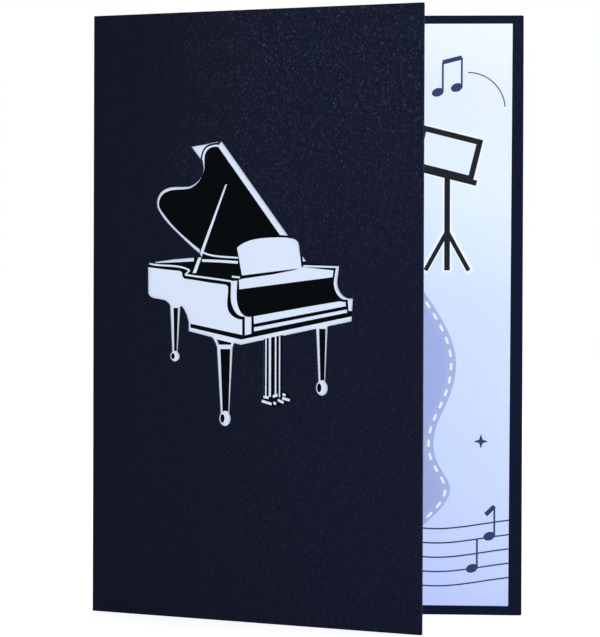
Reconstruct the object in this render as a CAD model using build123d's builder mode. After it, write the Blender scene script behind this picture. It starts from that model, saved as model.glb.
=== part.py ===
from build123d import *
from math import atan2, cos, degrees, radians, sin
import os

# Greeting card, folded once at the spine and standing open on its bottom edges.
# Two sheets make it: a cover of thick pearl card, with a piano cut through its front leaf as one
# window, and a printed paper liner glued inside it, whose back closes that window.
# The back leaf lies along X behind the front leaf, which swings open towards -Y. Z is up.
# The origin is at the middle of the standing card's bounding box, on the surface it stands on.
# All lengths are in millimetres.

# The card, measured flat from the fold line to the free edge
card_width = 130.0
card_height = 180.0
opening_angle = 35.0
corner_radius = 0.5

# The two sheets and the ink on them
cover_thickness = 0.4
liner_thickness = 0.25
ink_thickness = 0.05
liner_fold_radius = 0.2

# What the liner leaves bare of the cover: its free edge leans a little
side_margin_top = 3.3
side_margin_bottom = 4.0
head_margin = 2.5
foot_margin = 2.8

# The piano on the front: its box, measured from the fold line and from the bottom edge
figure_left = 22.0
figure_foot = 57.0
figure_width = 82.0
figure_height = 85.0
figure_centre_share = (0.5, 0.5)
outline_width = 0.4
ink_bleed = 1.5

# Tools reach past what they cut by this much
cut_overrun = 1.0

# The fold. The glue between the sheets is as thick as the ink that lies in it.
cover_fold_radius = liner_fold_radius + liner_thickness + ink_thickness
cover_outer_radius = cover_fold_radius + cover_thickness
fold_turn = 180 - opening_angle
fold_allowance = radians(fold_turn) / 2 * (cover_fold_radius + cover_thickness / 2)
leaf_run = card_width - fold_allowance

# The way each leaf runs from the fold, and the way its outer face looks
lean = radians(opening_angle)
front_way = Vector(cos(lean), -sin(lean), 0)
front_outward = Vector(-sin(lean), -cos(lean), 0)
back_way = Vector(1, 0, 0)
back_outward = Vector(0, 1, 0)

# Where the centre of the fold lies, so that the origin is at the middle of the card's box
front_swing = leaf_run * sin(lean) + cover_outer_radius * cos(lean)
fold_centre = Vector((cover_outer_radius - leaf_run) / 2, (front_swing - cover_outer_radius) / 2, 0)
fold_plane = Plane(origin=fold_centre, x_dir=back_way, z_dir=(0, 0, 1))


def front_face(radius):
    """Plane along the front leaf at a radius of the fold: X from the fold line, Y up, out of the card."""
    corner = fold_centre + front_outward * radius - front_way * fold_allowance
    return Plane(origin=corner, x_dir=front_way, z_dir=front_outward)


def back_page(radius):
    """Plane along the back leaf at a radius of the fold: X from the fold line, Y up, into the card."""
    corner = fold_centre + back_outward * radius - back_way * fold_allowance
    return Plane(origin=corner, x_dir=back_way, z_dir=back_outward * -1)


def folded_outline(inner_radius, thickness, run):
    """Section of a folded sheet: two leaves of one thickness, joined by a round bend."""
    outer_radius = inner_radius + thickness
    back_inner = back_way * run + back_outward * inner_radius
    back_outer = back_way * run + back_outward * outer_radius
    front_inner = front_way * run + front_outward * inner_radius
    front_outer = front_way * run + front_outward * outer_radius
    with BuildLine() as outline:
        inner_bend = CenterArc((0, 0), inner_radius, 90, fold_turn)
        outer_bend = CenterArc((0, 0), outer_radius, 90, fold_turn)
        Polyline(inner_bend @ 0, back_inner, back_outer, outer_bend @ 0)
        Polyline(inner_bend @ 1, front_inner, front_outer, outer_bend @ 1)
    make_face(outline.line)


# The piano, drawn as bare fields in black ink
# Points are shares of the figure's width and height, from its lower left corner.
rim_line = 0.55
far_rim_line = 0.8
caster_hole_width_share = 0.33
caster_hole_height_share = 0.56
caster_hole_place_share = 0.25
leg_root = 0.9
caster_lap = 0.7
pedal_line = 0.8

# The raised lid: its wavy free edge, the light rim inside it, its straight front and the flap behind
lid_edge_shares = (
    (0.345, 0.988), (0.293, 0.968), (0.277, 0.930), (0.283, 0.902), (0.279, 0.883), (0.261, 0.861),
    (0.228, 0.842), (0.196, 0.837), (0.106, 0.833), (0.064, 0.809), (0.054, 0.776), (0.076, 0.739),
    (0.125, 0.697), (0.184, 0.656), (0.226, 0.628), (0.264, 0.605),
)
lid_rim_shares = (
    (0.351, 0.975), (0.321, 0.974), (0.304, 0.967), (0.292, 0.955), (0.286, 0.925), (0.286, 0.900),
    (0.279, 0.882), (0.262, 0.859), (0.222, 0.834), (0.191, 0.829), (0.110, 0.823), (0.071, 0.802),
    (0.062, 0.776), (0.086, 0.742), (0.130, 0.703), (0.187, 0.664), (0.226, 0.640), (0.263, 0.619),
)
lid_bare_shares = (
    (0.030, 0.604), (0.264, 0.604), (0.264, 0.640), (0.353, 0.960), (0.353, 1.006), (0.030, 1.006),
)
lid_inside_shares = ((0.420, 0.619), (0.420, 0.975))
lid_window_shares = ((0.300, 0.560), (0.750, 0.560), (0.782, 0.576), (0.374, 0.994))
lid_front_shares = ((0.351, 0.977), (0.390, 1.016), (0.812, 0.584), (0.741, 0.576))
flap_window_shares = (
    (0.223, 0.977), (0.297, 0.985), (0.327, 0.990), (0.353, 0.993), (0.364, 0.990), (0.345, 0.960),
    (0.295, 0.932), (0.273, 0.929),
)
flap_line_shares = (
    (0.366, 0.996), (0.356, 0.987), (0.341, 0.986), (0.321, 0.984), (0.300, 0.978), (0.282, 0.964),
    (0.273, 0.945), (0.268, 0.915),
)
hinge_line_shares = ((0.277, 0.610), (0.300, 0.602), (0.330, 0.597), (0.380, 0.593), (0.450, 0.590))
prop_shares = ((0.387, 0.843), (0.397, 0.846), (0.247, 0.536), (0.229, 0.536))

# The case: its far and near rims, its side, and the scrolled arms at the ends of the keys
far_rim_shares = ((0.045, 0.570), (0.142, 0.573), (0.236, 0.577))
far_rim_right_shares = ((0.275, 0.580), (0.360, 0.578), (0.450, 0.574))
near_rim_shares = ((0.014, 0.568), (0.079, 0.562), (0.149, 0.559), (0.190, 0.553), (0.215, 0.545))
near_rim_hook_shares = ((0.216, 0.546), (0.192, 0.529))
near_rim_front_shares = ((0.192, 0.530), (0.230, 0.526), (0.330, 0.517), (0.420, 0.508))
side_top_shares = (
    (-0.020, 0.558), (0.092, 0.548), (0.165, 0.543), (0.177, 0.539), (0.180, 0.523), (0.190, 0.516),
    (0.237, 0.512), (0.315, 0.503), (0.387, 0.497), (0.398, 0.494), (0.403, 0.487),
)
side_front_shares = (
    (0.403, 0.487), (0.402, 0.462), (0.399, 0.429), (0.405, 0.407), (0.424, 0.389), (0.472, 0.377),
)
side_foot_shares = ((0.472, 0.323), (0.220, 0.359), (0.220, 0.330), (0.180, 0.330), (-0.020, 0.405))
left_arm_back_shares = (
    (0.416, 0.509), (0.416, 0.475), (0.417, 0.440), (0.434, 0.406), (0.484, 0.387),
)
left_arm_front_shares = (
    (0.447, 0.511), (0.445, 0.478), (0.446, 0.440), (0.463, 0.404), (0.516, 0.387),
)
left_arm_foot_shares = ((0.484, 0.322), (0.516, 0.328))
right_arm_back_shares = (
    (0.914, 0.556), (0.908, 0.528), (0.905, 0.500), (0.920, 0.468), (0.970, 0.450),
)
right_arm_front_shares = (
    (0.933, 0.563), (0.928, 0.530), (0.926, 0.500), (0.945, 0.469), (0.998, 0.456),
)
right_arm_foot_shares = ((0.973, 0.412), (1.015, 0.412))
right_arm_middle_share = (0.880, 0.400)
right_rim_shares = ((0.761, 0.563), (0.930, 0.560))
desk_foot_shares = ((0.754, 0.556), (0.469, 0.529))
desk_top_shares = (
    (0.445, 0.625), (0.488, 0.645), (0.563, 0.658), (0.639, 0.661), (0.704, 0.658), (0.732, 0.649),
    (0.742, 0.629),
)
desk_middle_share = (0.600, 0.590)
shelf_shares = (
    (0.455, 0.514), (0.474, 0.518), (0.620, 0.534), (0.716, 0.549), (0.760, 0.560), (0.903, 0.549),
    (0.900, 0.526), (0.457, 0.481),
)
shelf_end_shares = ((0.421, 0.525), (0.460, 0.522))
keys_shares = (
    (0.526, 0.388), (0.780, 0.424), (0.930, 0.444), (0.960, 0.442), (0.962, 0.428), (0.528, 0.362),
)
slip_shares = ((0.528, 0.350), (0.966, 0.417), (0.968, 0.406), (0.528, 0.336))
moulding_shares = (
    (0.180, 0.345), (0.221, 0.345), (0.467, 0.307), (1.015, 0.398), (1.015, 0.360), (0.467, 0.270),
    (0.180, 0.312),
)
case_window_shares = (
    (0.992, 0.377), (0.467, 0.289), (0.212, 0.333), (0.212, 0.364), (0.202, 0.389), (0.190, 0.408),
    (0.177, 0.420), (0.164, 0.414), (0.130, 0.408), (0.113, 0.430), (0.098, 0.439), (0.074, 0.443),
    (0.036, 0.447), (0.020, 0.453), (0.011, 0.463), (0.010, 0.561), (0.018, 0.571), (0.147, 0.584),
    (0.262, 0.591), (0.440, 0.600), (0.758, 0.573), (0.926, 0.567),
)

# Legs: the middle of the top and of the foot, the widths there, how much of them is black, and the
# caster's width and height
back_leg_shares = ((0.147, 0.424), (0.146, 0.254))
back_leg_widths = (4.4, 2.35)
back_leg_black_share = 0.40
back_caster = (4.1, 3.1)
near_leg_shares = ((0.390, 0.306), (0.392, 0.050))
near_leg_widths = (6.8, 3.7)
near_leg_black_share = 0.60
far_leg_shares = ((0.852, 0.360), (0.853, 0.166))
far_leg_widths = (4.7, 2.8)
far_leg_black_share = 0.52
front_caster = (4.8, 4.5)
bracket_shares = (
    (0.302, 0.326), (0.322, 0.316), (0.334, 0.307), (0.345, 0.291), (0.359, 0.256), (0.419, 0.256),
    (0.439, 0.298), (0.444, 0.308),
)
bracket_middle_share = (0.388, 0.330)
bracket_black_shares = ((0.348, 0.306), (0.420, 0.295), (0.415, 0.286), (0.361, 0.286))
near_ring_shares = ((0.352, 0.280), (0.424, 0.281))
near_ring_line = 1.3
legs = (
    (back_leg_shares, back_leg_widths, back_leg_black_share, back_caster),
    (near_leg_shares, near_leg_widths, near_leg_black_share, front_caster),
    (far_leg_shares, far_leg_widths, far_leg_black_share, front_caster),
)

# The lyre: its rods from left to right, how wide each is, and the feet and pedals below them
rod_shares = (0.586, 0.605, 0.632, 0.651)
rod_widths = (0.60, 0.90, 0.65, 0.55)
rod_top_share = 0.322
rod_foot_share = 0.112
pedal_shares = (
    ((0.574, 0.111), (0.600, 0.109)),
    ((0.619, 0.113), (0.642, 0.119)),
    ((0.566, 0.097), (0.614, 0.087)),
    ((0.622, 0.093), (0.635, 0.088)),
    ((0.643, 0.102), (0.671, 0.093)),
    ((0.664, 0.109), (0.700, 0.102)),
    ((0.665, 0.122), (0.680, 0.119)),
)
lyre_window_shares = (
    (0.577, 0.311), (0.667, 0.326), (0.667, 0.133), (0.692, 0.128), (0.714, 0.108), (0.710, 0.095),
    (0.616, 0.075), (0.562, 0.088), (0.563, 0.104), (0.577, 0.118),
)


def on_figure(*shares):
    """Points on the front leaf, from shares of the figure's box."""
    return [
        Vector(figure_left + across * figure_width, figure_foot + up * figure_height)
        for across, up in shares
    ]


def moved_out(points, middle, distance):
    """Points moved straight away from a middle point."""
    return [point + (point - middle).normalized() * distance for point in points]


def closed_field(points, mode=Mode.ADD):
    """A field with straight sides."""
    with BuildLine() as outline:
        Polyline(*points, close=True)
    make_face(outline.line, mode=mode)


def band_field(first_points, second_points):
    """The band between two smooth curves that run the same way."""
    with BuildLine() as outline:
        first = Spline(*first_points)
        second = Spline(*second_points)
        Line(first @ 0, second @ 0)
        Line(first @ 1, second @ 1)
    make_face(outline.line)


def arm_field(back_shares, front_points, foot_shares):
    """The scrolled end of the key bed, between two curves, with a straight foot."""
    with BuildLine() as outline:
        back_curve = Spline(*on_figure(*back_shares))
        front_curve = Spline(*front_points)
        Line(back_curve @ 0, front_curve @ 0)
        Polyline(back_curve @ 1, *on_figure(*foot_shares), front_curve @ 1)
    make_face(outline.line)


def desk_field(growth, mode):
    """The music desk, grown on its arched top and its sides."""
    desk_middle = on_figure(desk_middle_share)[0]
    foot_points = moved_out(on_figure(*desk_foot_shares), desk_middle, growth)
    with BuildLine() as outline:
        desk_top = Spline(*moved_out(on_figure(*desk_top_shares), desk_middle, growth))
        Polyline(desk_top @ 1, *foot_points, desk_top @ 0)
    make_face(outline.line, mode=mode)


def smooth_line(shares, width, mode=Mode.ADD):
    """A smooth line of one width."""
    with BuildLine() as route:
        Spline(*on_figure(*shares))
    trace(route.line, line_width=width, mode=mode)


def straight_line(points, width):
    """A straight line of one width."""
    with BuildLine() as route:
        Line(*points)
    trace(route.line, line_width=width)


def leg_corners(shares, widths, growth=0.0):
    """Corners of a tapered leg, grown at its sides."""
    top, foot = on_figure(*shares)
    top_half, foot_half = [Vector(width / 2 + growth, 0) for width in widths]
    return [top - top_half, foot - foot_half, foot + foot_half, top + top_half]


def caster_centre(shares, caster):
    """Middle of a leg's caster, which laps over the foot of the leg."""
    return on_figure(shares[1])[0] + Vector(0, caster_lap - caster[1] / 2)


def caster_field(shares, caster, growth=0.0):
    """A leg's caster, grown all round."""
    width, height = caster
    with Locations(caster_centre(shares, caster)):
        Ellipse(width / 2 + growth, height / 2 + growth)


def black_leg_field(shares, widths, black_share):
    """The black field down the middle of a leg."""
    black_widths = [width * black_share for width in widths]
    corners = leg_corners(shares, black_widths)
    root = Vector(0, leg_root)
    closed_field([corners[0] - root, corners[1], corners[2], corners[3] - root], mode=Mode.SUBTRACT)


def caster_hole(shares, caster):
    """The dark hole of a leg's caster, left of its middle."""
    hole_width = caster[0] * caster_hole_width_share
    hole_height = caster[1] * caster_hole_height_share
    with Locations(caster_centre(shares, caster) - Vector(caster[0] * caster_hole_place_share, 0)):
        Ellipse(hole_width / 2, hole_height / 2, mode=Mode.SUBTRACT)


# Everything on the piano that is left white. Where white meets the edge of the window, the field
# runs on behind the cover.
right_arm_middle = on_figure(right_arm_middle_share)[0]
bracket_middle = on_figure(bracket_middle_share)[0]
with BuildSketch() as bare_fields:
    closed_field(on_figure(*lid_bare_shares))
    with BuildLine() as lid_inside:
        rim_curve = Spline(*on_figure(*lid_rim_shares))
        Polyline(rim_curve @ 1, *on_figure(*lid_inside_shares), rim_curve @ 0)
    make_face(lid_inside.line, mode=Mode.SUBTRACT)
    smooth_line(flap_line_shares, rim_line, Mode.SUBTRACT)
    closed_field(on_figure(*lid_front_shares))
    desk_field(2 * outline_width, Mode.SUBTRACT)
    desk_field(0, Mode.ADD)
    with BuildLine():
        side_front = Spline(*on_figure(*side_front_shares))
        Polyline(side_front @ 1, *on_figure(*side_foot_shares, *side_top_shares))
    make_face()
    closed_field(on_figure(*moulding_shares))
    closed_field(on_figure(*lyre_window_shares), Mode.SUBTRACT)
    closed_field(moved_out(on_figure(*bracket_shares), bracket_middle, ink_bleed))
    for shares, widths, black_share, caster in legs:
        closed_field(leg_corners(shares, widths, ink_bleed))
        caster_field(shares, caster, ink_bleed)
        black_leg_field(shares, widths, black_share)
        caster_field(shares, caster)
        caster_hole(shares, caster)
    closed_field(on_figure(*bracket_black_shares), Mode.SUBTRACT)
    straight_line(on_figure(*near_ring_shares), near_ring_line)
    for outline_shares in (prop_shares, shelf_shares, keys_shares, slip_shares):
        closed_field(on_figure(*outline_shares))
    far_rim_points = on_figure(*far_rim_shares)
    band_field(far_rim_points, [point + Vector(0, ink_bleed) for point in far_rim_points])
    for route_shares in (hinge_line_shares, near_rim_shares, near_rim_front_shares):
        smooth_line(route_shares, rim_line)
    smooth_line(far_rim_right_shares, far_rim_line)
    for route_shares in (near_rim_hook_shares, right_rim_shares, shelf_end_shares):
        straight_line(on_figure(*route_shares), rim_line)
    arm_field(left_arm_back_shares, on_figure(*left_arm_front_shares), left_arm_foot_shares)
    right_arm_front = moved_out(on_figure(*right_arm_front_shares), right_arm_middle, ink_bleed)
    arm_field(right_arm_back_shares, right_arm_front, right_arm_foot_shares)
    for place_share, width in zip(rod_shares, rod_widths):
        rod_ends = on_figure((place_share, rod_top_share), (place_share, rod_foot_share))
        straight_line(rod_ends, width)
    for pedal in pedal_shares:
        straight_line(on_figure(*pedal), pedal_line)

# The window in the cover: lid, flap, case, legs and lyre run into one another
with BuildSketch() as window:
    with BuildLine():
        lid_edge = Spline(*on_figure(*lid_edge_shares))
        Polyline(lid_edge @ 1, *on_figure(*lid_window_shares), lid_edge @ 0)
    make_face()
    with BuildLine():
        arm_edge = Spline(*on_figure(*right_arm_front_shares))
        Polyline(arm_edge @ 1, *on_figure(*case_window_shares), arm_edge @ 0)
    make_face()
    desk_field(outline_width, Mode.ADD)
    for outline_shares in (flap_window_shares, bracket_shares, lyre_window_shares):
        closed_field(on_figure(*outline_shares))
    for shares, widths, _, caster in legs:
        closed_field(leg_corners(shares, widths))
        caster_field(shares, caster)

# Cover: folded pearl card with the window cut through its front leaf
with BuildPart() as cover:
    with BuildSketch(fold_plane):
        folded_outline(cover_fold_radius, cover_thickness, leaf_run)
    extrude(amount=card_height)
    back_corners = cover.edges().filter_by(Axis.Y)
    front_corners = cover.edges().filter_by(Axis((0, 0, 0), front_outward))
    fillet(back_corners.group_by(Axis.X)[-1], radius=corner_radius)
    fillet(front_corners.group_by(Axis.Y)[0], radius=corner_radius)
    with BuildSketch(front_face(cover_outer_radius)):
        add(window.sketch)
    extrude(amount=cover_thickness + cut_overrun, both=True, mode=Mode.SUBTRACT)
cover.part.label = "cover"

# Ends of the liner's pages along the leaf, which follow its leaning free edge
page_end_top = card_width - side_margin_top
page_end_bottom = card_width - side_margin_bottom
page_head = card_height - head_margin
page_run = leaf_run - min(side_margin_top, side_margin_bottom)


def past_page_edge(mode=Mode.ADD):
    """What lies beyond the free edge of a page."""
    with BuildLine() as outline:
        Polyline(
            (page_end_bottom, foot_margin),
            (page_end_top, page_head),
            (card_width + cut_overrun, page_head),
            (card_width + cut_overrun, foot_margin),
            close=True,
        )
    make_face(outline.line, mode=mode)


# Liner: printed paper folded in the cover
with BuildPart() as liner:
    with BuildSketch(fold_plane.offset(foot_margin)):
        folded_outline(liner_fold_radius, liner_thickness, page_run)
    extrude(amount=page_head - foot_margin)
    for page in (front_face(liner_fold_radius), back_page(liner_fold_radius)):
        with BuildSketch(page):
            past_page_edge()
        extrude(amount=liner_thickness + cut_overrun, both=True, mode=Mode.SUBTRACT)
liner.part.label = "liner"

# Black ink behind the window, printed a little past it on every side
with BuildPart() as piano_print:
    with BuildSketch(front_face(cover_fold_radius)):
        with Locations(on_figure(figure_centre_share)[0]):
            Rectangle(figure_width + 2 * ink_bleed, figure_height + 2 * ink_bleed)
        add(bare_fields.sketch, mode=Mode.SUBTRACT)
    extrude(amount=-ink_thickness)
piano_print.part.label = "piano_print"

# The print on the right-hand page
# Points are shares of the card's width and height, from the fold line and the bottom edge.
staff_line = 0.42
staff_spacing = 4.3
staff_count = 5
staff_shares = (
    (0.060, 0.078), (0.240, 0.052), (0.440, 0.060), (0.640, 0.062), (0.800, 0.048), (0.920, 0.058),
    (1.000, 0.066),
)

note_length = 3.6
note_height = 2.5
note_tilt = 20.0
note_stem = 0.55
stem_rise = 9.0
beam_height = 1.3
flag_reach = 2.6
crotchet_share = (0.885, 0.078)
quaver_share = (0.925, 0.132)
pair_shares = ((0.802, 0.872), (0.846, 0.880))

star_share = (0.905, 0.290)
star_reach = 2.2
star_waist = 0.75
star_points = 4

arc_shares = ((0.872, 0.905), (0.925, 0.892), (0.958, 0.848))
arc_line = 0.35

ribbon_width = 27.0
ribbon_edge = 3.0
ribbon_shares = (
    (0.766, 0.545), (0.812, 0.495), (0.846, 0.430), (0.832, 0.365), (0.800, 0.310), (0.804, 0.255),
    (0.834, 0.210), (0.800, 0.168), (0.740, 0.130),
)
stitch_length = 2.2
stitch_width = 0.75
stitch_corner = 0.22
stitch_pitch = 3.9

stand_middle_share = 0.825
stand_foot_share = 0.575
stand_knee_share = 0.640
stand_desk_share = 0.770
stand_pole = 1.7
stand_leg = 1.3
stand_spread = 6.5
stand_tilt = -14.0
desk_width = 19.0
desk_height = 13.0
desk_frame = 1.7
desk_lip = 2.4
keyline_width = 0.6


def on_page(*shares):
    """Points on the right-hand page, from shares of the card's width and height."""
    return [Vector(across * card_width, up * card_height) for across, up in shares]


def note_head(place):
    """A tilted oval head, with its stem on the right."""
    with Locations(Location(place, (0, 0, note_tilt))):
        Ellipse(note_length / 2, note_height / 2)
    stem_foot = stem_at(place)
    straight_line((stem_foot, stem_foot + Vector(0, stem_rise)), note_stem)


def stem_at(place):
    """Where a note's stem starts."""
    return place + Vector((note_length - note_stem) / 2, 0)


def stand_shape(growth):
    """The music stand: a tilted desk with a lip, a pole and three short legs."""
    middle = stand_middle_share * card_width
    foot = stand_foot_share * card_height
    knee = Vector(middle, stand_knee_share * card_height)
    desk = Vector(middle, stand_desk_share * card_height)
    straight_line((Vector(middle, foot) - Vector(0, growth), desk), stand_pole + 2 * growth)
    for side in (-1, 1):
        toe = Vector(middle + side * (stand_spread + growth), foot - growth)
        straight_line((knee + Vector(0, growth), toe), stand_leg + 2 * growth)
    with Locations(Location(desk, (0, 0, stand_tilt))):
        Rectangle(desk_width + 2 * growth, desk_height + 2 * growth)
        with Locations((0, -desk_height / 2)):
            Rectangle(desk_width + desk_lip + 2 * growth, desk_frame + 2 * growth)


def bare_sheet(mode):
    """The bare sheet of paper on the music stand's desk."""
    with Locations(Location(on_page((stand_middle_share, stand_desk_share))[0], (0, 0, stand_tilt))):
        Rectangle(desk_width - 2 * desk_frame, desk_height - 2 * desk_frame, mode=mode)


def ribbon_curve(inset):
    """Points of the ribbon's right edge, moved left by an inset."""
    return [point - Vector(inset, 0) for point in on_page(*ribbon_shares)]


# Notes, star and arc
with BuildSketch() as note_field:
    for place in on_page(crotchet_share, quaver_share, *pair_shares):
        note_head(place)
    flag_top = stem_at(on_page(quaver_share)[0]) + Vector(0, stem_rise)
    straight_line((flag_top, flag_top + Vector(-flag_reach, -flag_reach)), beam_height)
    first_top, second_top = [stem_at(place) + Vector(0, stem_rise) for place in on_page(*pair_shares)]
    straight_line((first_top, second_top), beam_height)
with BuildSketch() as star_field:
    with BuildLine():
        star_turns = [radians(180 / star_points * step) for step in range(2 * star_points)]
        star_radii = (star_reach, star_waist) * star_points
        star_middle = on_page(star_share)[0]
        Polyline(
            *[star_middle + Vector(r * cos(t), r * sin(t)) for r, t in zip(star_radii, star_turns)],
            close=True,
        )
    make_face()
with BuildSketch() as arc_field:
    with BuildLine():
        ThreePointArc(*on_page(*arc_shares))
    trace(line_width=arc_line)

# Ribbon, with a lighter edge down each side and a row of white stitches printed over it
with BuildSketch() as stitch_field:
    for row_inset in (ribbon_edge / 2, ribbon_width - ribbon_edge / 2):
        with BuildLine(mode=Mode.PRIVATE) as stitch_row:
            row = Spline(*ribbon_curve(row_inset))
        stitch_count = int(row.length / stitch_pitch)
        for number in range(stitch_count):
            along = (number + 0.5) / stitch_count
            way = row % along
            with Locations(Location(row @ along, (0, 0, degrees(atan2(way.Y, way.X))))):
                Rectangle(stitch_length, stitch_width)
    chamfer(stitch_field.vertices(), length=stitch_corner)
with BuildSketch() as ribbon_edge_field:
    band_field(ribbon_curve(0), ribbon_curve(ribbon_edge))
    band_field(ribbon_curve(ribbon_width - ribbon_edge), ribbon_curve(ribbon_width))
with BuildSketch() as ribbon_field:
    band_field(ribbon_curve(ribbon_edge), ribbon_curve(ribbon_width - ribbon_edge))

# Stave across the foot of the page, cut off at its free edge and left out under notes and ribbon
with BuildSketch() as staff_field:
    for line_number in range(staff_count):
        lift = Vector(0, line_number * staff_spacing)
        with BuildLine():
            Spline(*[point + lift for point in on_page(*staff_shares)])
        trace(line_width=staff_line)
    past_page_edge(Mode.SUBTRACT)
    for field in (note_field, ribbon_field, ribbon_edge_field):
        add(field.sketch, mode=Mode.SUBTRACT)

# Music stand, with a light line round it and a bare sheet on its desk
with BuildSketch() as stand_field:
    stand_shape(0)
    bare_sheet(Mode.SUBTRACT)
with BuildSketch() as keyline_field:
    stand_shape(keyline_width)
    add(stand_field.sketch, mode=Mode.SUBTRACT)
    bare_sheet(Mode.SUBTRACT)

page_prints = {
    "staff_print": staff_field,
    "note_print": note_field,
    "star_print": star_field,
    "arc_print": arc_field,
    "ribbon_print": ribbon_field,
    "ribbon_edge_print": ribbon_edge_field,
    "stitch_print": stitch_field,
    "stand_print": stand_field,
    "stand_keyline_print": keyline_field,
}
pieces = [cover.part, liner.part, piano_print.part]
for label, field in page_prints.items():
    ink_base = ink_thickness if field is stitch_field else 0
    with BuildPart() as page_print:
        with BuildSketch(back_page(liner_fold_radius - ink_base)):
            add(field.sketch)
        extrude(amount=ink_thickness)
    page_print.part.label = label
    pieces.append(page_print.part)

os.makedirs("parts", exist_ok=True)
for piece in pieces:
    export_step(piece, f"parts/{piece.label}.step")
    print(piece.label, len(piece.solids()), round(piece.volume, 2))
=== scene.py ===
import math

import bpy
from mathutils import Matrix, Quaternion, Vector


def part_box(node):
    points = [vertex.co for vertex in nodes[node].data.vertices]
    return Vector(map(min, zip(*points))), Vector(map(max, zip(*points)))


# Looks, light and camera for a folded greeting card that stands open: a navy pearl cover, cut
# through with a piano, and a printed liner glued inside it. Lengths are in metres, and mm() gives
# one from millimetres.

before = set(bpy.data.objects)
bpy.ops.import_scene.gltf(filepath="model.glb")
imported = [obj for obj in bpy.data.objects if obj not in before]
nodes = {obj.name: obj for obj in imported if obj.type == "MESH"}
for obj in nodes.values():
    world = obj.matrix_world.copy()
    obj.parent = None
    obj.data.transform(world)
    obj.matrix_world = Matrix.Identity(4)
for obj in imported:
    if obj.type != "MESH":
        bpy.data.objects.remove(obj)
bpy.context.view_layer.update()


def mm(length):
    """Metres from millimetres."""
    return length / 1000


def linear(hex_colour):
    """Linear colour, opaque, from an sRGB hex value."""
    shares = [int(hex_colour[place:place + 2], 16) / 255 for place in (1, 3, 5)]
    return [s / 12.92 if s <= 0.04045 else ((s + 0.055) / 1.055) ** 2.4 for s in shares] + [1.0]


def add(owner, kind, links=None, **settings):
    """Add a node with its settings. Each socket in links gets a value or a link, and a node there
    stands for its first output."""
    node = owner.node_tree.nodes.new(kind)
    for name, value in settings.items():
        setattr(node, name, value)
    for socket, source in (links or {}).items():
        if isinstance(source, bpy.types.Node):
            source = source.outputs[0]
        if isinstance(source, bpy.types.NodeSocket):
            owner.node_tree.links.new(source, node.inputs[socket])
        else:
            node.inputs[socket].default_value = source
    return node


def new_material(name):
    """An empty node material, and the object coordinates that its patterns follow."""
    material = bpy.data.materials.new(name)
    material.use_nodes = True
    material.node_tree.nodes.clear()
    return material, add(material, "ShaderNodeTexCoord").outputs["Object"]


def finish_material(material, shader):
    """Send a shader to the material's output."""
    add(material, "ShaderNodeOutputMaterial", {"Surface": shader})
    return material


def dress(material, *node_names):
    """Give CAD nodes their finish."""
    for node_name in node_names:
        mesh = nodes[node_name].data
        mesh.materials.clear()
        mesh.materials.append(material)


# The card's own directions and sizes: the back leaf lies along X, the front leaf leans away from it
# by the opening angle, and both run from the fold
opening = math.radians(35)
front_outward = (-math.sin(opening), -math.cos(opening), 0)
back_outward = (0, 1, 0)
cover_low, cover_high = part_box("cover")
cover_outer_radius = mm(0.9)
fold_axis = (cover_low.x + cover_outer_radius, cover_high.y - cover_outer_radius, 0)
leaf_width = mm(130)
card_height = cover_high.z - cover_low.z

# How a sheet's faces are told from its cut walls: by how squarely they look out of a leaf. A wall
# does so by less than wall_lean. The bend looks every way, so walls count only past its end, in
# shares of the leaf. One leaf's inner face looks out of the other leaf by 0.82, so an outer face
# counts from more than that.
wall_lean = 0.75
bend_end = (0.014, 0.018)
outer_lean = (0.88, 0.95)


def from_fold(material, place):
    """How far a point lies from the fold at its own height, as a share of the leaf."""
    flat = add(material, "ShaderNodeVectorMath", {0: place, 1: (1, 1, 0)}, operation="MULTIPLY")
    away = add(material, "ShaderNodeVectorMath", {0: flat, 1: fold_axis}, operation="DISTANCE")
    return add(material, "ShaderNodeMath", {
        0: away.outputs["Value"], 1: leaf_width,
    }, operation="DIVIDE")


def lean(material, normal, way):
    """How squarely a surface looks one way or its opposite, from 1 down to 0 for edge on."""
    dot = add(material, "ShaderNodeVectorMath", {0: normal, 1: way}, operation="DOT_PRODUCT")
    return add(material, "ShaderNodeMath", {0: dot.outputs["Value"]}, operation="ABSOLUTE")


def on_cut_edge(material, place, normal):
    """1 on the walls that a blade or laser left, 0 on the faces of the sheet and round its fold."""
    most = add(material, "ShaderNodeMath", {
        0: lean(material, normal, front_outward), 1: lean(material, normal, back_outward),
    }, operation="MAXIMUM")
    wall = add(material, "ShaderNodeMath", {0: most, 1: wall_lean}, operation="LESS_THAN")
    past_fold = add(material, "ShaderNodeMapRange", {
        "Value": from_fold(material, place), "From Min": bend_end[0], "From Max": bend_end[1],
    })
    return add(material, "ShaderNodeMath", {0: wall, 1: past_fold}, operation="MULTIPLY")


def facing_out(material, normal):
    """1 on the faces that look out of the closed card, 0 on the inner faces and the edges."""
    dots = [
        add(material, "ShaderNodeVectorMath", {0: normal, 1: way}, operation="DOT_PRODUCT")
        for way in (front_outward, back_outward)
    ]
    most = add(material, "ShaderNodeMath", {
        0: dots[0].outputs["Value"], 1: dots[1].outputs["Value"],
    }, operation="MAXIMUM")
    return add(material, "ShaderNodeMapRange", {
        "Value": most, "From Min": outer_lean[0], "From Max": outer_lean[1],
    })


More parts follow.
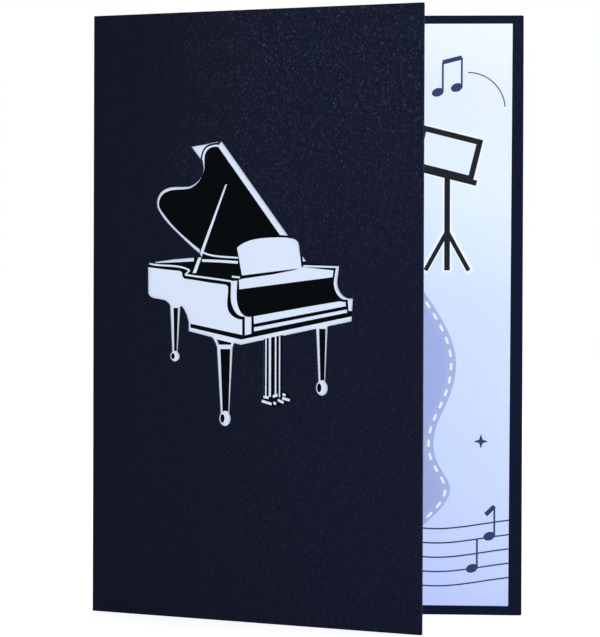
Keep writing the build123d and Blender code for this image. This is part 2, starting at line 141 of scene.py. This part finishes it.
# Pearl card: dyed-through pulp board with mica pigment rolled on it, matt with a fine sparkle.
# Real flakes are hundredths of a millimetre long and would be lost in the picture, so they are
# drawn coarser here, and sparser. Each lies at its own tilt, so few catch a lamp at a time.
flake_size = mm(0.6)
grain_size = mm(0.95)
fibre_size = mm(0.9)
fibre_depth = mm(0.03)
cloud_size = mm(16)
# Painted sheen: the card's colour runs from darker at the fold to lighter and bluer at the free
# edge
fold_end_of_painted_sheen = "#0B101E"
free_edge_end_of_painted_sheen = "#0F1427"
speckle_colour = "#1F2538"
core_colour = "#2B3145"
flake_colour = "#5C637C"
card_roughness = 0.65
flake_roughness = 0.35
card_gloss = 0.035

# Where the mica lies: the heights between which a painted glint thickens it, as shares of the
# card's, its share at the foot and on the inner faces, and how the painted glint grows from the
# fold, with clouds from the roller
painted_glint_heights = (0.47, 0.92)
painted_glint_at_foot = 0.3
coat_inside = 0.3
cloud_strength = 0.5
painted_glint_growth = (0.28, 0.86)

# What shows of it: the part of the grain that is speckle, the lots of the flakes that lie bare, how
# bare the barest lies, and how far from the middle of its cell a flake has faded and is whole. A
# cell's colour tips its flake by how far it is from the middle colour.
speckle_part = (0.47, 0.67)
speckle_strength = 0.8
bare_lots = (0.82, 1.0)
barest = 0.36
flake_fade = (0.7, 0.2)
middle_colour = (0.5, 0.5, 0.5)


def mica_with_painted_glint(material, place, normal):
    """How thick the mica lies, from 0 to 1: thickest on the outer faces, and painted thicker at the
    head and away from the fold as a painted glint."""
    height = add(material, "ShaderNodeSeparateXYZ", {0: place}).outputs["Z"]
    # Painted glint: the mica thickens towards the head
    head = add(material, "ShaderNodeMapRange", {
        "Value": height, "To Min": painted_glint_at_foot,
        "From Min": painted_glint_heights[0] * card_height, "From Max": painted_glint_heights[1] * card_height,
    }, interpolation_type="SMOOTHSTEP")
    clouds = add(material, "ShaderNodeTexNoise", {
        "Vector": place, "Scale": 1 / cloud_size, "Detail": 3.0,
    })
    # Painted glint: it grows away from the fold, broken by the roller's clouds
    uneven = add(material, "ShaderNodeMath", {
        0: clouds, 1: cloud_strength, 2: from_fold(material, place),
    }, operation="MULTIPLY_ADD")
    roller_clouds_and_painted_glint = add(material, "ShaderNodeMapRange", {
        "Value": uneven, "From Min": painted_glint_growth[0], "From Max": painted_glint_growth[1],
    }, interpolation_type="SMOOTHSTEP")
    outer = add(material, "ShaderNodeMapRange", {
        "Value": facing_out(material, normal), "To Min": coat_inside,
    })
    on_leaf = add(material, "ShaderNodeMath", {0: head, 1: roller_clouds_and_painted_glint}, operation="MULTIPLY")
    return add(material, "ShaderNodeMath", {0: on_leaf, 1: outer}, operation="MULTIPLY")


def pearl_card():
    material, place = new_material("pearl card, dyed through and mica coated")
    normal = add(material, "ShaderNodeNewGeometry").outputs["Normal"]
    # The mica with its painted glint, thicker at the head and away from the fold
    painted_glint_mica = mica_with_painted_glint(material, place, normal)
    # A painted sheen makes the colour lighter and bluer towards the free edge, and the mica greys
    # it in speckles, laid out by the painted glint
    dyed_with_painted_sheen = add(material, "ShaderNodeMix", {
        0: from_fold(material, place), 6: linear(fold_end_of_painted_sheen), 7: linear(free_edge_end_of_painted_sheen),
    }, data_type="RGBA").outputs[2]
    grain = add(material, "ShaderNodeTexNoise", {
        "Vector": place, "Scale": 1 / grain_size, "Detail": 2.0, "Roughness": 0.8,
    })
    speckled = add(material, "ShaderNodeMapRange", {
        "Value": grain, "From Min": speckle_part[0], "From Max": speckle_part[1],
        "To Max": speckle_strength,
    })
    speckles = add(material, "ShaderNodeMath", {0: speckled, 1: painted_glint_mica}, operation="MULTIPLY")
    grained = add(material, "ShaderNodeMix", {
        0: speckles, 6: dyed_with_painted_sheen, 7: linear(speckle_colour),
    }, data_type="RGBA").outputs[2]
    # The laser leaves the dyed core bare, a shade paler and dull
    board = add(material, "ShaderNodeMix", {
        0: on_cut_edge(material, place, normal), 6: grained, 7: linear(core_colour),
    }, data_type="RGBA").outputs[2]
    # One flake to a cell: the cell's colour gives its tilt, and by lot whether it lies bare
    cells = add(material, "ShaderNodeTexVoronoi", {"Vector": place, "Scale": 1 / flake_size})
    lot = add(material, "ShaderNodeTexWhiteNoise", {"Vector": cells.outputs["Color"]})
    bare = add(material, "ShaderNodeMapRange", {
        "Value": lot, "From Min": bare_lots[0], "From Max": bare_lots[1], "To Max": barest,
    })
    body = add(material, "ShaderNodeMapRange", {
        "Value": cells.outputs["Distance"], "From Min": flake_fade[0], "From Max": flake_fade[1],
    })
    on_card = add(material, "ShaderNodeMath", {0: bare, 1: body}, operation="MULTIPLY")
    # The flakes follow the painted glint too
    flakes = add(material, "ShaderNodeMath", {0: on_card, 1: painted_glint_mica}, operation="MULTIPLY")
    tilt = add(material, "ShaderNodeVectorMath", {
        0: cells.outputs["Color"], 1: middle_colour,
    }, operation="SUBTRACT")
    tipped = add(material, "ShaderNodeVectorMath", {0: tilt, "Scale": flakes}, operation="SCALE")
    tilted = add(material, "ShaderNodeVectorMath", {0: tipped, 1: normal}, operation="ADD")
    fibres = add(material, "ShaderNodeTexNoise", {
        "Vector": place, "Scale": 1 / fibre_size, "Detail": 4.0, "Roughness": 0.7,
    })
    return finish_material(material, add(material, "ShaderNodeBsdfPrincipled", {
        "Base Color": add(material, "ShaderNodeMix", {
            0: flakes, 6: board, 7: linear(flake_colour),
        }, data_type="RGBA").outputs[2],
        "Metallic": flakes,
        "Roughness": add(material, "ShaderNodeMapRange", {
            "Value": flakes, "To Min": card_roughness, "To Max": flake_roughness,
        }),
        "Specular IOR Level": card_gloss,
        "Normal": add(material, "ShaderNodeBump", {
            "Height": fibres, "Distance": fibre_depth, "Strength": 0.5,
            "Normal": add(material, "ShaderNodeVectorMath", {0: tilted}, operation="NORMALIZE"),
        }),
    }))


# Liner: white wood-free paper with a fine tooth, with an offset print on its inner pages in a pale
# blue that deepens towards the foot, partly in the print and partly as painted shade. Its back is
# left bare, a shade cooler, and the knife's edges are white. The stops of the print and its painted
# shade are shares of the card's height, from the foot.
tooth_size = mm(0.35)
tooth_depth = mm(0.02)
tooth_shade = "#BCC7E6"
tooth_strength = 0.07
print_and_painted_shade_stops = (
    (0.00, "#C5D1FF"), (0.22, "#CEDCFF"), (0.52, "#D4E1FE"), (0.70, "#E2EDFE"), (0.88, "#E2EAFB"),
)
back_colour = "#DCE8FD"
knife_edge_colour = "#F6F8FC"
paper_roughness = (0.65, 0.85)
paper_gloss = 0.15


def liner_paper():
    material, place = new_material("wood-free paper, offset printed")
    normal = add(material, "ShaderNodeNewGeometry").outputs["Normal"]
    height = add(material, "ShaderNodeSeparateXYZ", {0: place}).outputs["Z"]
    ramp = add(material, "ShaderNodeValToRGB", {
        0: add(material, "ShaderNodeMath", {0: height, 1: card_height}, operation="DIVIDE"),
    })
    # A new ramp has a first and a last stop, and the others go between them
    stops = ramp.color_ramp.elements
    for stop, (position, hex_colour) in zip(stops, (print_and_painted_shade_stops[0], print_and_painted_shade_stops[-1])):
        stop.position = position
        stop.color = linear(hex_colour)
    for position, hex_colour in print_and_painted_shade_stops[1:-1]:
        stops.new(position).color = linear(hex_colour)
    # Inner pages: the pale blue ramp, partly print and partly painted shade; the back is bare
    printed_with_painted_shade = add(material, "ShaderNodeMix", {
        0: facing_out(material, normal), 6: ramp, 7: linear(back_colour),
    }, data_type="RGBA").outputs[2]
    trimmed = add(material, "ShaderNodeMix", {
        0: on_cut_edge(material, place, normal), 6: printed_with_painted_shade, 7: linear(knife_edge_colour),
    }, data_type="RGBA").outputs[2]
    tooth = add(material, "ShaderNodeTexNoise", {
        "Vector": place, "Scale": 1 / tooth_size, "Detail": 4.0, "Roughness": 0.65,
    })
    shaded = add(material, "ShaderNodeMath", {0: tooth, 1: tooth_strength}, operation="MULTIPLY")
    return finish_material(material, add(material, "ShaderNodeBsdfPrincipled", {
        "Base Color": add(material, "ShaderNodeMix", {
            0: shaded, 6: trimmed, 7: linear(tooth_shade),
        }, data_type="RGBA").outputs[2],
        "Roughness": add(material, "ShaderNodeMapRange", {
            "Value": tooth, "To Min": paper_roughness[0], "To Max": paper_roughness[1],
        }),
        "Specular IOR Level": paper_gloss,
        "Normal": add(material, "ShaderNodeBump", {
            "Height": tooth, "Distance": tooth_depth, "Strength": 0.35,
        }),
    }))


# Offset ink: it sinks into the tooth of the paper, so a flat field is very slightly mottled, and
# its sheen is uneven
mottle_size = mm(1.6)
ink_tooth_depth = mm(0.015)
sheen_spread = 0.08


def offset_ink(name, hex_colour, sunk_hex, roughness=0.6, gloss=0.12):
    material, place = new_material(f"offset ink, {name}")
    mottle = add(material, "ShaderNodeTexNoise", {
        "Vector": place, "Scale": 1 / mottle_size, "Detail": 5.0, "Roughness": 0.7,
    })
    tooth = add(material, "ShaderNodeTexNoise", {
        "Vector": place, "Scale": 1 / tooth_size, "Detail": 3.0,
    })
    return finish_material(material, add(material, "ShaderNodeBsdfPrincipled", {
        "Base Color": add(material, "ShaderNodeMix", {
            0: mottle, 6: linear(hex_colour), 7: linear(sunk_hex),
        }, data_type="RGBA").outputs[2],
        "Roughness": add(material, "ShaderNodeMapRange", {
            "Value": mottle, "To Min": roughness - sheen_spread, "To Max": roughness + sheen_spread,
        }),
        "Specular IOR Level": gloss,
        "Normal": add(material, "ShaderNodeBump", {
            "Height": tooth, "Distance": ink_tooth_depth, "Strength": 0.25,
        }),
    }))


dress(pearl_card(), "cover")
dress(liner_paper(), "liner")
dress(offset_ink("dense black", "#010406", "#04080A", roughness=0.5, gloss=0.015), "piano_print")
dress(offset_ink("slate", "#2A3559", "#323E64"), "staff_print", "note_print", "star_print")
dress(offset_ink("thin slate", "#3C4773", "#46527F"), "arc_print")
dress(offset_ink("lavender", "#9FADDA", "#A5B3DE"), "ribbon_print")
dress(offset_ink("light lavender", "#A5B1D8", "#ABB7DC"), "ribbon_edge_print")
dress(offset_ink("opaque white", "#F2F6FF", "#E8EEFC"), "stitch_print", "stand_keyline_print")
dress(offset_ink("charcoal", "#131118", "#19171F"), "stand_print")


def seen_directly(owner):
    """1 for what the camera sees, straight or in a mirror or glass, and 0 for light."""
    path = add(owner, "ShaderNodeLightPath")
    mirrored = add(owner, "ShaderNodeMath", {
        0: path.outputs["Is Glossy Ray"], 1: path.outputs["Is Transmission Ray"],
    }, operation="MAXIMUM")
    return add(owner, "ShaderNodeMath", {
        0: path.outputs["Is Camera Ray"], 1: mirrored,
    }, operation="MAXIMUM")


# Floor: a plain pale sheet. What the camera sees of it is lifted towards the backdrop's white, and
# the card's shadow stays on it.
floor_half = 20.0
floor_lift = 0.58
sheet_grain = mm(2)
sheet_colours = ("#ECEDEF", "#F0F1F3")


def studio_sheet():
    material, place = new_material("studio paper, matt white")
    grain = add(material, "ShaderNodeTexNoise", {"Vector": place, "Scale": 1 / sheet_grain})
    tint = add(material, "ShaderNodeMix", {
        0: grain, 6: linear(sheet_colours[0]), 7: linear(sheet_colours[1]),
    }, data_type="RGBA").outputs[2]
    lifted = add(material, "ShaderNodeMath", {
        0: seen_directly(material), 1: floor_lift,
    }, operation="MULTIPLY")
    return finish_material(material, add(material, "ShaderNodeAddShader", {
        0: add(material, "ShaderNodeBsdfDiffuse", {"Color": tint}),
        1: add(material, "ShaderNodeEmission", {"Strength": lifted}),
    }))


floor_mesh = bpy.data.meshes.new("floor")
floor_shares = ((-1, -1), (1, -1), (1, 1), (-1, 1))
floor_corners = [(x * floor_half, y * floor_half, 0) for x, y in floor_shares]
floor_mesh.from_pydata(floor_corners, [], [(0, 1, 2, 3)])
floor_mesh.materials.append(studio_sheet())
floor = bpy.data.objects.new("floor", floor_mesh)
bpy.context.scene.collection.objects.link(floor)

# World: an even white room, at a plain level as light and at full white as the background
room_level = 0.5
backdrop_level = 1.0
world = bpy.data.worlds.new("white room")
world.use_nodes = True
world.node_tree.nodes.clear()
room = add(world, "ShaderNodeBackground", {
    "Color": linear("#FFFFFF"),
    "Strength": add(world, "ShaderNodeMapRange", {
        "Value": seen_directly(world), "To Min": room_level, "To Max": backdrop_level,
    }),
})
add(world, "ShaderNodeOutputWorld", {"Surface": room})
bpy.context.scene.world = world

card_middle = Vector((0, 0, card_height / 2))


def softbox(name, place, size, power):
    """A large square lamp that looks at the middle of the card."""
    light = bpy.data.lights.new(name, "AREA")
    light.shape = "SQUARE"
    light.size = size
    light.energy = power
    lamp = bpy.data.objects.new(name, light)
    bpy.context.scene.collection.objects.link(lamp)
    lamp.location = place
    lamp.rotation_mode = "QUATERNION"
    lamp.rotation_quaternion = (card_middle - Vector(place)).to_track_quat("-Z", "Y")


# One softbox stands square to the front leaf and lights the cover. The second looks into the
# opening from the right, and lights the page evenly from head to foot. The third lights the back.
softbox("cover softbox", place=(-0.85, -1.25, 0.4), size=0.6, power=3.6)
softbox("page softbox", place=(0.75, -1.5, 0.32), size=0.6, power=16.9)
softbox("back softbox", place=(0.4, 1.3, 1.1), size=0.9, power=9)

# Camera: at the photograph's angle, a long lens a little above the middle of the card
camera_place = (0.14755, -1.3426, 0.1105)
camera_azimuth = math.radians(6.19)
camera_pitch = math.radians(0.894)
camera_roll = math.radians(0.185)
sight = Vector((
    -math.sin(camera_azimuth) * math.cos(camera_pitch),
    math.cos(camera_azimuth) * math.cos(camera_pitch),
    -math.sin(camera_pitch),
))
lens = bpy.data.cameras.new("camera")
lens.sensor_width = 36
lens.lens = 260.25
lens.clip_start = 0.01
lens.clip_end = 100
camera = bpy.data.objects.new("camera", lens)
bpy.context.scene.collection.objects.link(camera)
camera.location = camera_place
camera.rotation_mode = "QUATERNION"
camera.rotation_quaternion = sight.to_track_quat("-Z", "Y") @ Quaternion((0, 0, 1), camera_roll)
bpy.context.scene.camera = camera
bpy.context.scene.view_settings.view_transform = "Standard"
